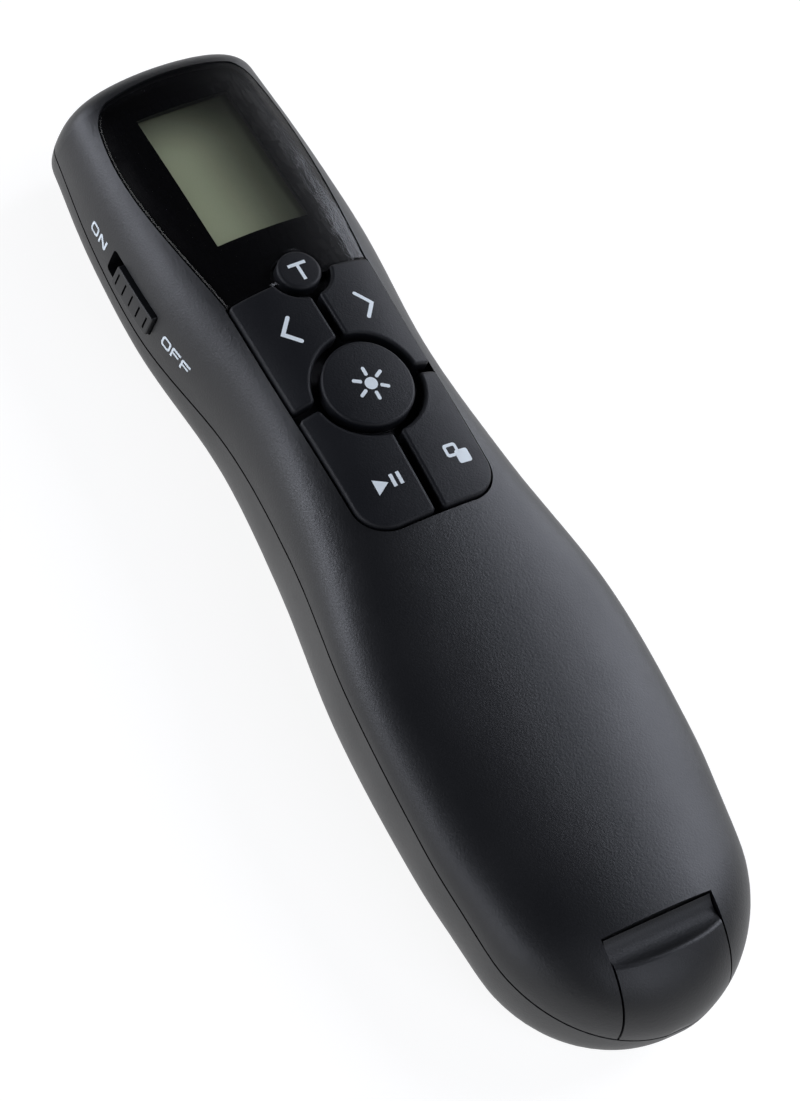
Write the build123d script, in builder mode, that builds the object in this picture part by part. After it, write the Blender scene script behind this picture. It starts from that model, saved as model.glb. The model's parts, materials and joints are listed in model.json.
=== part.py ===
from build123d import *
from math import radians, sqrt, tan
import os

# Wireless presentation clicker with a timer display and a stowed USB receiver.
# Frame: +Y points to the laser end (nose), +X to the user's right, +Z up out of the keys.
# The origin is on the table, below the middle of the length. Millimetres.

os.makedirs("parts", exist_ok=True)

# ------------------------------------------------------------------ body shape
body_length = 134.0
nose_y = body_length / 2
tail_y = -body_length / 2
nose_bow = 90.0          # plan radius of the nose face
nose_round = 3.0         # rounding all round the nose face
tail_run = 17.4          # length over which the tail closes
rest_z = 0.0             # table height, the flat underside

shell_wall = 1.8         # sides and underside
roof_wall = 2.6          # top, thick enough for the window's recess
seam_gap = 0.34          # shadow line between the shells
lip_wall = 0.8
lip_height = 1.0
lip_gap = 0.1
fit_gap = 0.15           # clearance between fixed pieces
move_gap = 0.3           # clearance between pieces that move past each other

# ------------------------------------------------------------------ keys
laser_key_y = 15.5
laser_key_r = 5.75
timer_key_y = 32.5
timer_key_r = 2.75
key_gap = 1.1            # open gap between neighbouring keys
key_edge_gap = 0.3       # gap between keys and shell
key_top_y = 32.0         # far edge of the arrow keys, where the window ends
key_low_y = -2.2         # near edge of the lower keys
key_half_top = 9.7
key_half_low = 9.2
key_corner_r = 4.2
key_proud = 0.5          # keys stand above the shell
key_skin = 1.9           # thickness of a key cap
key_round = 0.45         # rounding along a key's top edge
key_plan_round = 0.55    # rounding of a key's corners, seen from above
key_travel = 0.5
key_stem_r = 1.3
stem_barb_r = 1.75
stem_barb_h = 0.45
guide_top_z = 19.7
guide_wall = 1.2
guide_front_y = 36.8
guide_rear_y = -6.6
guide_half = 9.9
guide_pin_r = 0.9
guide_pin_x = 6.3
guide_pin_inset = 1.7
stem_gap = 0.1
stem_root = 0.5          # how far a stem runs into its key cap
arrow_key_x = 5.4
arrow_key_y = 24.6
lower_key_x = 5.2
lower_key_y = 5.2

# ------------------------------------------------------------------ window and display
window_top_y = 64.7
window_shoulder_y = 63.9
window_shoulder_x = 8.8
window_side = ((10.9, 61.2), (11.75, 54.0), (11.6, 48.0), (10.85, 40.4), (9.75, 32.0))
window_wall = 1.3
window_bevel = 0.25
window_gap = 0.12
mask_wall = 0.15
view_half_x = 6.4
view_front_y = 60.4
view_rear_y = 40.2
lcd_half_x = 7.6
lcd_margin_y = 2.2       # glass beyond the visible area at each end
lcd_depth = 2.5          # glass below the body's centre line
lcd_wall = 2.2
frame_wall = 1.0
frame_below = 1.6        # holder rim below the top of the glass
lcd_ledge = 0.7
lcd_pin_count = 9
lcd_pin_pitch = 1.6
lcd_pin_size = 0.4

# ------------------------------------------------------------------ circuit board
board_top_z = 15.3
board_wall = 1.2
board_half_x = 10.5
board_nose_half_x = 7.9
board_front_y = 62.0
board_step_y = 50.0
board_rear_y = -41.0
switch_side = 4.5        # push switches under the keys
switch_wall = 1.8
plunger_r = 1.1
plunger_rise = 0.8
plunger_gap = 0.06

# name: x, y, size x, size y, height
chips = {
    "controller_chip": (0.0, -20.5, 7.0, 7.0, 1.2),
    "radio_chip": (-5.0, -29.5, 4.0, 4.0, 0.9),
    "crystal": (5.0, -28.5, 3.4, 8.0, 2.2),
}

# ------------------------------------------------------------------ on/off slider
slot_y = 42.2
slot_z = 12.97
slot_length = 10.9
slot_height = 3.55
slot_round = 0.5
slot_tilt = 4.5          # degrees, nose end lower
slider_travel = 2.0
slider_side_gap = 0.2
slider_proud = 0.65      # the knob stands out of the flank
slider_round = 0.15
slider_plate_x = -11.9
slider_plate_wall = 0.7
slider_overlap = 0.9     # plate hidden above and below the slot
slider_slit_count = 5
slider_slit_pitch = 1.7
slider_slit_width = 0.3
slider_slit_length = 1.9
slider_slit_depth = 0.5
fork_gap = 0.12
fork_length = 0.6
fork_wall = 0.8
slide_lever = 1.3
lever_length = 1.8
lever_root = 1.0         # part of the lever inside the switch
slide_body_x = 3.6
slide_body_y = 9.0
slide_body_z = 3.6

# ------------------------------------------------------------------ laser
laser_z = 10.9
laser_barrel_r = 3.0
laser_barrel_length = 11.0
laser_ring_r = 3.7
laser_ring_hole_r = 2.1
laser_ring_recess = 0.3
laser_ring_length = 2.3
laser_lens_wall = 1.0
laser_cradle_half = 4.6
laser_cradle_y = 4.0
lead_x = 1.3
lead_r = 0.3

# ------------------------------------------------------------------ battery bay
cell_r = 5.25
cell_length = 43.7
cell_nub_r = 1.9
cell_nub_length = 0.8
cell_spacing = 10.8
cell_z = 7.3
bay_side_gap = 0.3
bay_front_y = 8.4        # inside face of the bay, nose side
spring_length = 4.0      # room for the coil springs
spring_wire_r = 0.25
spring_r = 2.6
spring_turns = 4
bay_wall = 1.3
bay_roof = 0.8
contact_wall = 0.3
contact_half = 3.6

# ------------------------------------------------------------------ battery door
door_wall = 2.0
door_gap = 0.25
door_half_x = 11.9
door_margin_y = 1.6      # door beyond the bay at each end
door_recess = 0.15       # door face above the table
door_rib_count = 5
door_rib_pitch = 1.8
door_rib_half = 5.0
door_rib_depth = 0.4
door_tab_half = 1.6
door_tab_reach = 1.5
door_tab_x = 6.5
door_tab_wall = 1.0
latch_half = 4.0
latch_wall = 0.9
latch_rise = 3.4
latch_hook = 0.5
latch_gap = 0.5
seat_lap = 1.6           # ledge round the door's opening
seat_top_z = 4.0
door_corner_r = 2.5

# ------------------------------------------------------------------ receiver
receiver_front_y = -55.7
receiver_half_x = 7.7    # notch in the upper shell
receiver_gap = 0.25
plug_half_x = 6.0        # USB type A plug
plug_height = 4.5
plug_wall = 0.3
plug_length = 12.5
plug_root = 1.4
plug_z = 14.0
tongue_height = 1.9
usb_pitch = 2.25
scoop_y = -58.1
scoop_r = 2.75
scoop_lift = 1.2         # centre of the scoop above the cap
scoop_round = 0.7        # soft rear edge of the scoop
tray_wall = 0.8
tray_gap = 0.4
deck_wall = 1.2

# ------------------------------------------------------------------ screws
screw_r = 1.0
screw_head_r = 1.8
screw_head_h = 1.2
screw_slot = 0.4
case_screw_length = 6.2
board_screw_length = 4.6
pilot_top_z = 19.3
boss_r = 2.3
bay_screw_rear = 8.0     # from the bay's rear wall
board_screw_x = 8.0

# Body stations from nose to tail: y, half width, top, seam height, underside.
stations = [
    (nose_y + 5.0, 13.3, 20.3, 11.3, 3.4),
    (nose_y - 3.0, 13.9, 21.1, 10.8, 3.2),
    (nose_y - 15.0, 15.1, 22.45, 9.5, 2.6),
    (nose_y - 30.0, 15.5, 23.75, 9.3, 2.2),
    (laser_key_y + 4.0, 13.85, 24.8, 11.6, 0.6),
    (laser_key_y - 13.0, 15.2, 24.35, 13.9, -0.6),
    (laser_key_y - 32.0, 18.3, 22.8, 15.2, -0.8),
    (tail_y + 30.5, 18.7, 21.4, 13.7, -0.8),
    (tail_y + tail_run, 17.5, 20.7, 12.0, -0.8),
    (tail_y, 16.0, 20.0, 9.5, -0.8),
]
HALF_WIDTH, TOP, SEAM, UNDERSIDE = 1, 2, 3, 4

# Section curve above the seam, one Bezier: how high the second control stands against the
# middle pair, and how far apart that pair is as a share of the width.
top_full = 1.3
nose_spread, tail_spread = 0.32, -0.27
low_full = 0.84          # below the seam the corner takes this share of its box
section_pitch = 5.0      # spacing of the sections ahead of the tail
tail_steps = (0.15, 0.3, 0.45, 0.6, 0.74, 0.85, 0.93, 0.98, 0.995)


def station_value(y, column):
    """Smooth value of one station column at y."""
    last = len(stations) - 1
    i = max(k for k in range(last) if k == 0 or stations[k][0] >= y)
    slopes = []
    for k in (i, i + 1):
        a, b = stations[max(k - 1, 0)], stations[min(k + 1, last)]
        slopes.append((b[column] - a[column]) / (b[0] - a[0]))
    run = stations[i + 1][0] - stations[i][0]
    t = (y - stations[i][0]) / run
    start, end = stations[i][column], stations[i + 1][column]
    return (
        (2 * t**3 - 3 * t**2 + 1) * start
        + (t**3 - 2 * t**2 + t) * run * slopes[0]
        + (3 * t**2 - 2 * t**3) * end
        + (t**3 - t**2) * run * slopes[1]
    )


def closing(y, inset=0.0):
    """How far the tail has closed at y: width factor and height factor."""
    u = max(tail_y + tail_run - y, 0.0) / (tail_run - inset)
    return sqrt(1 - u**2), sqrt(1 - u**2.6)


def top_at(y):
    """Height of the body's centre line at y."""
    seam = station_value(y, SEAM)
    return seam + (station_value(y, TOP) - seam) * closing(y)[1]


def section_curve(half, seam, level, full, spread):
    """One side of a section, from seam to seam, reaching level in the middle."""
    reach = (level - seam) / (0.625 + 0.3125 * full)
    Bezier(
        (half, seam),
        (half, seam + full * reach),
        (spread * half, seam + reach),
        (-spread * half, seam + reach),
        (-half, seam + full * reach),
        (-half, seam),
    )


def body_form(inset=0.0, top_inset=None):
    """The whole body as one solid, smaller all round by inset and on top by top_inset."""
    if top_inset is None:
        top_inset = inset
    start_y, close_y = stations[0][0], tail_y + tail_run
    count = round((start_y - close_y) / section_pitch)
    places = [start_y + (close_y - start_y) * k / count for k in range(count + 1)]
    places += [close_y - (tail_run - inset) * step for step in tail_steps]
    with BuildPart() as form:
        for y in places:
            narrow, flat = closing(y, inset)
            seam = station_value(y, SEAM)
            half = (station_value(y, HALF_WIDTH) - inset) * narrow
            top = seam + (station_value(y, TOP) - top_inset - seam) * flat
            low = seam + (station_value(y, UNDERSIDE) + inset - seam) * flat
            share = min((y - tail_y) / body_length, 1.0)
            top_spread = tail_spread + (nose_spread - tail_spread) * share
            with BuildSketch(Plane.XZ.offset(-y)):
                with BuildLine():
                    section_curve(half, seam, top, top_full, top_spread)
                    for x in (half, -half):
                        corner = (x, seam + low_full * (low - seam))
                        Bezier((x, seam), corner, (low_full * x, low), (0, low))
                make_face()
        loft(clean=False)
        with Locations((0, nose_y - nose_bow, 0)):
            Cylinder(nose_bow - inset, 4 * nose_bow, mode=Mode.INTERSECT)
    return form.part


def seam_band(low, high):
    """Everything between two offsets from the seam surface."""
    reach = 3 * body_length
    with BuildPart() as band:
        with BuildSketch(Plane.YZ.offset(-reach / 2)):
            with BuildLine():
                places = [nose_y + 5.0] + [s[0] for s in stations[1:]] + [tail_y - 5.0]
                knots = [(y, station_value(y, SEAM)) for y in places]
                lower = Spline(*[(y, z + low) for y, z in knots])
                if high is None:
                    Polyline(lower @ 1, (tail_y - 5.0, reach), (nose_y + 5.0, reach), lower @ 0)
                else:
                    upper = Spline(*[(y, z + high) for y, z in knots])
                    Line(lower @ 0, upper @ 0)
                    Line(lower @ 1, upper @ 1)
            make_face()
        extrude(amount=reach)
    return band.part


plain_form = body_form()
with BuildPart() as outer:
    add(plain_form)
    nose_edges = outer.edges().filter_by(lambda e: e.center().Y > nose_y - 1.0)
    fillet(nose_edges, nose_round)

outer_form = outer.part
cavity_form = body_form(shell_wall, roof_wall)
trim_form = body_form(shell_wall + fit_gap, roof_wall + fit_gap)
lip_form = body_form(shell_wall - lip_wall)
rebate_form = body_form(shell_wall - lip_wall - lip_gap)
key_top_form = body_form(0.0, -key_proud)
key_base_form = body_form(0.0, key_skin - key_proud)
window_base_form = body_form(0.0, window_wall)
recess_form = body_form(0.0, window_wall + mask_wall)
door_inner_form = body_form(door_wall)
door_seat_form = body_form(door_wall + fit_gap)

above_seam = seam_band(seam_gap / 2, None)
above_lower = seam_band(-seam_gap / 2, None)
lip_band = seam_band(-seam_gap, lip_height)
rebate_band = seam_band(-seam_gap, lip_height + lip_gap)
deck_band = seam_band(-deck_wall, -seam_gap / 2)

# ------------------------------------------------------------------ derived places
sky_z = 40.0                                    # above everything
switch_top_z = board_top_z + switch_wall
plunger_top_z = switch_top_z + plunger_rise
stem_base_z = plunger_top_z + plunger_gap
board_base_z = board_top_z - board_wall
guide_base_z = guide_top_z - guide_wall
bay_half_x = cell_spacing / 2 + cell_r + bay_side_gap
bay_roof_z = cell_z + cell_r + bay_side_gap
bay_rear_y = bay_front_y - cell_length - cell_nub_length - spring_length - 2 * contact_wall
door_front_y = bay_front_y + door_margin_y
door_rear_y = bay_rear_y - door_margin_y
lcd_front_y = view_front_y + lcd_margin_y
lcd_rear_y = view_rear_y - lcd_margin_y
cap_front_y = receiver_front_y - receiver_gap
plug_tip_y = cap_front_y + plug_length
laser_ring_y = nose_y - laser_ring_recess
key_centres = {
    "timer": (0, timer_key_y),
    "previous": (-arrow_key_x, arrow_key_y),
    "next": (arrow_key_x, arrow_key_y),
    "laser": (0, laser_key_y),
    "play": (-lower_key_x, lower_key_y),
    "swap": (lower_key_x, lower_key_y),
}
case_screw_spots = [(0, -9.0), (0, bay_rear_y + bay_screw_rear)]
board_screw_spots = [
    (side * board_screw_x, y) for side in (-1, 1) for y in (-12.5, bay_rear_y + bay_screw_rear - 4.0)
]
guide_pin_spots = [
    (side * guide_pin_x, y)
    for side in (-1, 1)
    for y in (guide_rear_y + guide_pin_inset, guide_front_y - guide_pin_inset)
]


def key_half(y):
    """Half width of the key field at y."""
    share = (y - key_low_y) / (key_top_y - key_low_y)
    return key_half_low + (key_half_top - key_half_low) * share


def key_field(spread=0.0):
    """Sketch of the whole key field, grown by spread at the sides and the near end."""
    low_y = key_low_y - spread
    low, top = key_half(low_y) + spread, key_half(key_top_y) + spread
    with BuildSketch() as field:
        with BuildLine():
            Polyline((-low, low_y), (low, low_y), (top, key_top_y), (-top, key_top_y), close=True)
        make_face()
        fillet(field.vertices().group_by(Axis.Y)[0], key_corner_r + spread)
    return field.sketch


def window_outline(shrink=0.0):
    """Sketch of the window, with its curved sides and the round notch for the timer key."""
    side = [(x - shrink, y) for x, y in window_side]
    top_y, shoulder_y = window_top_y - shrink, window_shoulder_y - shrink
    with BuildSketch() as pane:
        with BuildLine():
            right = Spline(*side)
            left = Spline(*[(-x, y) for x, y in side])
            ThreePointArc((-window_shoulder_x, shoulder_y), (0, top_y), (window_shoulder_x, shoulder_y))
            for edge, sign in ((right, 1), (left, -1)):
                TangentArc(edge @ 0, (sign * window_shoulder_x, shoulder_y), tangent=-(edge % 0))
            Line(left @ 1, right @ 1)
        make_face()
        with Locations((0, timer_key_y)):
            Circle(timer_key_r + move_gap + shrink, mode=Mode.SUBTRACT)
    return pane.sketch


# Display plane: parallel to the roof over the display, x across and y along the body.
lcd_mid_y = (view_front_y + view_rear_y) / 2
lcd_rise = top_at(view_front_y) - top_at(view_rear_y)
lcd_run = view_front_y - view_rear_y
lcd_mid_z = (top_at(view_front_y) + top_at(view_rear_y)) / 2 - lcd_depth
lcd_plane = Plane(
    origin=(0, lcd_mid_y, lcd_mid_z), x_dir=(1, 0, 0), z_dir=(0, -lcd_rise, lcd_run)
)
lcd_half_y = lcd_run / 2 + lcd_margin_y

# Slider plane: seen from the left side, x along the travel towards ON.
slider_axis = Vector(0, 1, -tan(radians(slot_tilt))).normalized()


def slider_plane(x, along=0.0):
    place = Vector(x, slot_y, slot_z) + slider_axis * along
    return Plane(origin=place, x_dir=slider_axis, z_dir=(-1, 0, 0))


knob_length = slot_length - slider_travel - 2 * slider_side_gap
knob_height = slot_height - 2 * slider_side_gap
knob_rest = -slider_travel / 2
slider_reach = 6.0       # long enough to leave the side wall

# ------------------------------------------------------------------ shared cuts
with BuildPart() as rebate:
    add(rebate_form)
    add(rebate_band, mode=Mode.INTERSECT)

with BuildPart() as laser_bore:
    with BuildSketch(Plane.XZ.offset(-(nose_y - laser_ring_length - 4.0))):
        with Locations((0, laser_z)):
            Circle(laser_ring_r)
    extrude(amount=-20)

with BuildPart() as receiver_notch:
    with BuildSketch(Plane.XY):
        with BuildLine():
            Polyline(
                (-receiver_half_x, receiver_front_y),
                (receiver_half_x, receiver_front_y),
                (receiver_half_x, 2 * tail_y),
                (-receiver_half_x, 2 * tail_y),
                close=True,
            )
        make_face()
    extrude(amount=sky_z)

with BuildPart() as lcd_space:
    with BuildSketch(lcd_plane.offset(fit_gap / 2)):
        Rectangle(2 * (lcd_half_x + fit_gap), 2 * (lcd_half_y + fit_gap))
    extrude(amount=-(lcd_wall + fit_gap))

with BuildPart() as window_recess:
    with BuildSketch(Plane.XY.offset(board_top_z)):
        add(window_outline(-window_gap))
    extrude(amount=sky_z)
    add(recess_form, mode=Mode.SUBTRACT)

# ------------------------------------------------------------------ upper shell
with BuildPart() as upper_shell:
    add(outer_form)
    add(cavity_form, mode=Mode.SUBTRACT)
    # Bosses for the case screws and the board screws, and the guide plate's pins.
    for x, y in case_screw_spots + board_screw_spots:
        with BuildSketch(Plane.XY.offset(board_top_z)):
            with Locations((x, y)):
                Circle(boss_r)
        extrude(amount=top_at(y) - roof_wall + 0.4 - board_top_z)
    for x, y in guide_pin_spots:
        pin_base = guide_base_z - fit_gap
        with BuildSketch(Plane.XY.offset(pin_base)):
            with Locations((x, y)):
                Circle(guide_pin_r)
        extrude(amount=top_at(y) - roof_wall + 0.4 - pin_base)
    with BuildSketch(Plane.XY.offset(board_top_z)):
        with Locations(*case_screw_spots, *board_screw_spots):
            Circle(screw_r)
    extrude(amount=pilot_top_z - board_top_z, mode=Mode.SUBTRACT)
    add(above_seam, mode=Mode.INTERSECT)
    add(rebate.part, mode=Mode.SUBTRACT)
    # Window recess, its floor's view opening and the display's pocket below.
    add(window_recess.part, mode=Mode.SUBTRACT)
    add(lcd_space.part, mode=Mode.SUBTRACT)
    with BuildSketch(Plane.XY.offset(board_top_z)):
        with Locations((0, lcd_mid_y)):
            Rectangle(2 * view_half_x, lcd_run)
    extrude(amount=sky_z, mode=Mode.SUBTRACT)
    # Key well and the timer key's hole.
    with BuildSketch(Plane.XY.offset(board_top_z)):
        add(key_field(key_edge_gap))
        with Locations((0, timer_key_y)):
            Circle(timer_key_r + move_gap)
    extrude(amount=sky_z, mode=Mode.SUBTRACT)
    # Slider slot, laser bore and receiver notch.
    with BuildSketch(slider_plane(slider_plate_x)):
        slot_shape = Rectangle(slot_length, slot_height)
        fillet(slot_shape.vertices(), slot_round)
    extrude(amount=slider_reach, mode=Mode.SUBTRACT)
    add(laser_bore.part, mode=Mode.SUBTRACT)
    add(receiver_notch.part, mode=Mode.SUBTRACT)
upper_shell.part.label = "upper_shell"
export_step(upper_shell.part, "parts/upper_shell.step")

# ------------------------------------------------------------------ lower shell
bay_mid_y = (bay_front_y + bay_rear_y) / 2
bay_length = bay_front_y - bay_rear_y
door_mid_y = (door_front_y + door_rear_y) / 2
door_length = door_front_y - door_rear_y


def door_outline(spread=0.0):
    """Sketch of the battery door, grown by spread."""
    with BuildSketch() as outline:
        with Locations((0, door_mid_y)):
            Rectangle(2 * (door_half_x + spread), door_length + 2 * spread)
        fillet(outline.vertices(), door_corner_r + spread)
    return outline.sketch


with BuildPart() as bay_block:
    with BuildSketch(Plane.XY.offset(rest_z)):
        with Locations((0, bay_mid_y)):
            Rectangle(2 * (bay_half_x + bay_wall), bay_length + 2 * bay_wall)
    extrude(amount=bay_roof_z + bay_roof)
    with BuildSketch(Plane.XY.offset(rest_z)):
        with Locations((0, door_mid_y)):
            Rectangle(2 * (door_half_x + seat_lap), door_length + 2 * seat_lap)
    extrude(amount=seat_top_z)
    add(lip_form, mode=Mode.INTERSECT)

with BuildPart() as door_space:
    with BuildSketch(Plane.XY.offset(-sky_z)):
        add(door_outline(door_gap))
    extrude(amount=sky_z + seat_top_z)
    add(door_seat_form, mode=Mode.SUBTRACT)

with BuildPart() as lip:
    add(lip_form)
    add(cavity_form, mode=Mode.SUBTRACT)
    add(lip_band, mode=Mode.INTERSECT)
    # The receiver's cap needs the tail end clear.
    with BuildSketch(Plane.XY):
        with Locations((0, 1.5 * tail_y)):
            Rectangle(2 * (receiver_half_x + shell_wall), 2 * (receiver_front_y - 1.5 * tail_y) + 2)
    extrude(amount=sky_z, mode=Mode.SUBTRACT)

with BuildPart() as receiver_deck:
    add(lip_form)
    add(deck_band, mode=Mode.INTERSECT)
    with BuildSketch(Plane.XY.offset(-sky_z)):
        with Locations((0, 1.5 * tail_y)):
            Rectangle(2 * (receiver_half_x + shell_wall), 2 * (cap_front_y - 1.5 * tail_y))
    extrude(amount=2 * sky_z, mode=Mode.INTERSECT)

barrel_front_y = laser_ring_y - laser_ring_length - 0.1
barrel_rear_y = barrel_front_y - laser_barrel_length
cradle_front_y = (barrel_front_y + barrel_rear_y + laser_cradle_y) / 2
with BuildPart() as laser_cradle:
    with BuildSketch(Plane.XZ.offset(-cradle_front_y)):
        with Locations((0, laser_z / 2)):
            Rectangle(2 * laser_cradle_half, laser_z)
        with Locations((0, laser_z)):
            Circle(laser_barrel_r, mode=Mode.SUBTRACT)
    extrude(amount=laser_cradle_y)
    add(lip_form, mode=Mode.INTERSECT)

with BuildPart() as lower_form:
    add(plain_form)
    add(above_lower, mode=Mode.SUBTRACT)
    front_edges = lower_form.edges().filter_by(lambda e: e.center().Y > nose_y - 1.0)
    fillet(front_edges.sort_by(Axis.Z)[:2], nose_round)

with BuildPart() as lower_shell:
    add(lower_form.part)
    add(cavity_form, mode=Mode.SUBTRACT)
    # The pieces inside stop within the wall, clear of the outer skin.
    add(receiver_deck.part)
    add(bay_block.part)
    add(laser_cradle.part)
    add(lip.part)
    add(door_space.part, mode=Mode.SUBTRACT)
    # Battery bay, open below.
    with BuildSketch(Plane.XY.offset(bay_roof_z)):
        with Locations((0, bay_mid_y)):
            Rectangle(2 * bay_half_x, bay_length)
    extrude(amount=-sky_z, mode=Mode.SUBTRACT)
    # Screw holes through the bay's roof, and room for the board screws' heads.
    with BuildSketch(Plane.XY.offset(bay_roof_z - 0.1)):
        with Locations(*case_screw_spots):
            Circle(screw_r + move_gap)
        with Locations(*board_screw_spots):
            Circle(screw_head_r + move_gap)
    extrude(amount=bay_roof + 1.0, mode=Mode.SUBTRACT)
    # Pockets for the door's latch at the front and its two tabs at the rear.
    with BuildSketch(Plane.XY.offset(rest_z)):
        with Locations((0, bay_front_y)):
            Rectangle(2 * (latch_half + move_gap), 2 * (door_margin_y + door_gap))
    extrude(amount=door_wall + latch_rise + latch_gap, mode=Mode.SUBTRACT)
    for x in (-door_tab_x, door_tab_x):
        with BuildSketch(Plane.XY.offset(rest_z + 1.1)):
            with Locations((x, door_rear_y)):
                Rectangle(2 * (door_tab_half + move_gap), 2 * (door_tab_reach + move_gap) + 0.2)
        extrude(amount=2.4, mode=Mode.SUBTRACT)
    add(laser_bore.part, mode=Mode.SUBTRACT)
    # Flat underside to rest on.
    with BuildSketch(Plane.XY.offset(rest_z)):
        Rectangle(body_length, 2 * body_length)
    extrude(amount=-sky_z, mode=Mode.SUBTRACT)
lower_shell.part.label = "lower_shell"
export_step(lower_shell.part, "parts/lower_shell.step")

# ------------------------------------------------------------------ battery door
with BuildPart() as battery_door:
    with BuildSketch(Plane.XY.offset(-sky_z)):
        add(door_outline())
    extrude(amount=sky_z + seat_top_z)
    add(outer_form, mode=Mode.INTERSECT)
    add(door_inner_form, mode=Mode.SUBTRACT)
    # Latch tongue with a hook, standing up behind the front edge.
    with BuildSketch(Plane.YZ.offset(-latch_half)):
        tongue_y = bay_front_y + 0.1
        tongue_top = door_wall + latch_rise
        with BuildLine():
            Polyline(
                (tongue_y, 0.6),
                (tongue_y, tongue_top),
                (tongue_y + latch_wall, tongue_top),
                (tongue_y + latch_wall + latch_hook, tongue_top - 1.2),
                (tongue_y + latch_wall, tongue_top - 1.6),
                (tongue_y + latch_wall, 0.6),
                close=True,
            )
        make_face()
    extrude(amount=2 * latch_half)
    # Two tabs that hook over the shell's floor at the rear.
    for x in (-door_tab_x, door_tab_x):
        with BuildSketch(Plane.XY.offset(rest_z + 1.2)):
            with Locations((x, door_rear_y)):
                Rectangle(2 * door_tab_half, 2 * door_tab_reach)
        extrude(amount=door_tab_wall)
    # Flat face, with grip grooves near the latch.
    with BuildSketch(Plane.XY.offset(rest_z + door_recess)):
        Rectangle(body_length, 2 * body_length)
    extrude(amount=-sky_z, mode=Mode.SUBTRACT)
    with BuildSketch(Plane.XY.offset(rest_z + door_recess)):
        for k in range(door_rib_count):
            with Locations((0, door_front_y - 5.0 - k * door_rib_pitch)):
                SlotOverall(2 * door_rib_half, 0.8)
    extrude(amount=door_rib_depth, mode=Mode.SUBTRACT)
battery_door.part.label = "battery_door"
export_step(battery_door.part, "parts/battery_door.step")

# ------------------------------------------------------------------ window and its mask
with BuildPart() as display_window:
    with BuildSketch(Plane.XY.offset(board_top_z)):
        add(window_outline())
    extrude(amount=sky_z)
    add(plain_form, mode=Mode.INTERSECT)
    add(window_base_form, mode=Mode.SUBTRACT)
    pane_faces = display_window.faces().sort_by(SortBy.AREA)[-2:]
    chamfer(pane_faces.sort_by(Axis.Z)[-1].outer_wire().edges(), window_bevel)
display_window.part.label = "display_window"
export_step(display_window.part, "parts/display_window.step")

with BuildPart() as display_mask:
    with BuildSketch(Plane.XY.offset(board_top_z)):
        add(window_outline(0.1))
        with Locations((0, lcd_mid_y)):
            Rectangle(2 * view_half_x, lcd_run, mode=Mode.SUBTRACT)
    extrude(amount=sky_z)
    add(window_base_form, mode=Mode.INTERSECT)
    add(recess_form, mode=Mode.SUBTRACT)
display_mask.part.label = "display_mask"
export_step(display_mask.part, "parts/display_mask.step")

# ------------------------------------------------------------------ display
with BuildPart() as lcd_glass:
    with BuildSketch(lcd_plane):
        Rectangle(2 * lcd_half_x, 2 * lcd_half_y)
    extrude(amount=-lcd_wall)
lcd_glass.part.label = "lcd_glass"
export_step(lcd_glass.part, "parts/lcd_glass.step")

with BuildPart() as lcd_frame:
    frame_half_x = lcd_half_x + frame_wall
    frame_half_y = lcd_half_y + frame_wall
    with BuildSketch(Plane.XY.offset(board_top_z)):
        with Locations((0, lcd_mid_y)):
            Rectangle(2 * frame_half_x, 2 * frame_half_y)
    extrude(amount=sky_z)
    with BuildSketch(lcd_plane.offset(-frame_below)):
        Rectangle(4 * frame_half_x, 4 * frame_half_y)
    extrude(amount=sky_z, mode=Mode.SUBTRACT)
    with BuildSketch(lcd_plane.offset(-lcd_wall)):
        Rectangle(2 * (lcd_half_x + 0.05), 2 * (lcd_half_y + 0.05))
    extrude(amount=sky_z, mode=Mode.SUBTRACT)
    with BuildSketch(Plane.XY.offset(board_top_z)):
        with Locations((0, lcd_mid_y)):
            Rectangle(2 * (lcd_half_x - lcd_ledge), 2 * (lcd_half_y - 0.2))
    extrude(amount=sky_z, mode=Mode.SUBTRACT)
lcd_frame.part.label = "lcd_frame"
export_step(lcd_frame.part, "parts/lcd_frame.step")

with BuildPart() as lcd_pins:
    pin_y = lcd_rear_y + 0.9
    with BuildSketch(Plane.XY.offset(board_base_z)):
        with Locations((0, pin_y)):
            with GridLocations(lcd_pin_pitch, 1, lcd_pin_count, 1):
                Rectangle(lcd_pin_size, lcd_pin_size)
    extrude(amount=sky_z)
    with BuildSketch(lcd_plane.offset(-lcd_wall)):
        Rectangle(4 * frame_half_x, 4 * frame_half_y)
    extrude(amount=2 * sky_z, mode=Mode.SUBTRACT)
lcd_pins.part.label = "lcd_pins"
export_step(lcd_pins.part, "parts/lcd_pins.step")


# ------------------------------------------------------------------ keys
def near_and_outer(vertex):
    return vertex.Y - abs(vertex.X)


def key_outline(name):
    """Sketch of one key's top, in plan."""
    ring = laser_key_r + key_gap
    with BuildSketch() as outline:
        if name in ("timer", "laser"):
            with Locations(key_centres[name]):
                Circle(timer_key_r if name == "timer" else laser_key_r)
        else:
            side = 1 if name in ("next", "swap") else -1
            upper = name in ("previous", "next")
            low_y = laser_key_y + key_gap / 2 if upper else key_low_y
            top_y = key_top_y - fit_gap if upper else laser_key_y - key_gap / 2
            inner = side * key_gap / 2
            with BuildLine():
                Polyline(
                    (inner, low_y),
                    (side * key_half(low_y), low_y),
                    (side * key_half(top_y), top_y),
                    (inner, top_y),
                    close=True,
                )
            make_face()
            with Locations(key_centres["laser"]):
                Circle(ring, mode=Mode.SUBTRACT)
            with Locations(key_centres["timer"]):
                Circle(timer_key_r + key_gap, mode=Mode.SUBTRACT)
            corners = outline.vertices().sort_by(near_and_outer)
            fillet(corners[0 if upper else 1 :], key_plan_round)
            if not upper:
                fillet(outline.vertices().sort_by(near_and_outer)[0], key_corner_r)
    return outline.sketch


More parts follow.
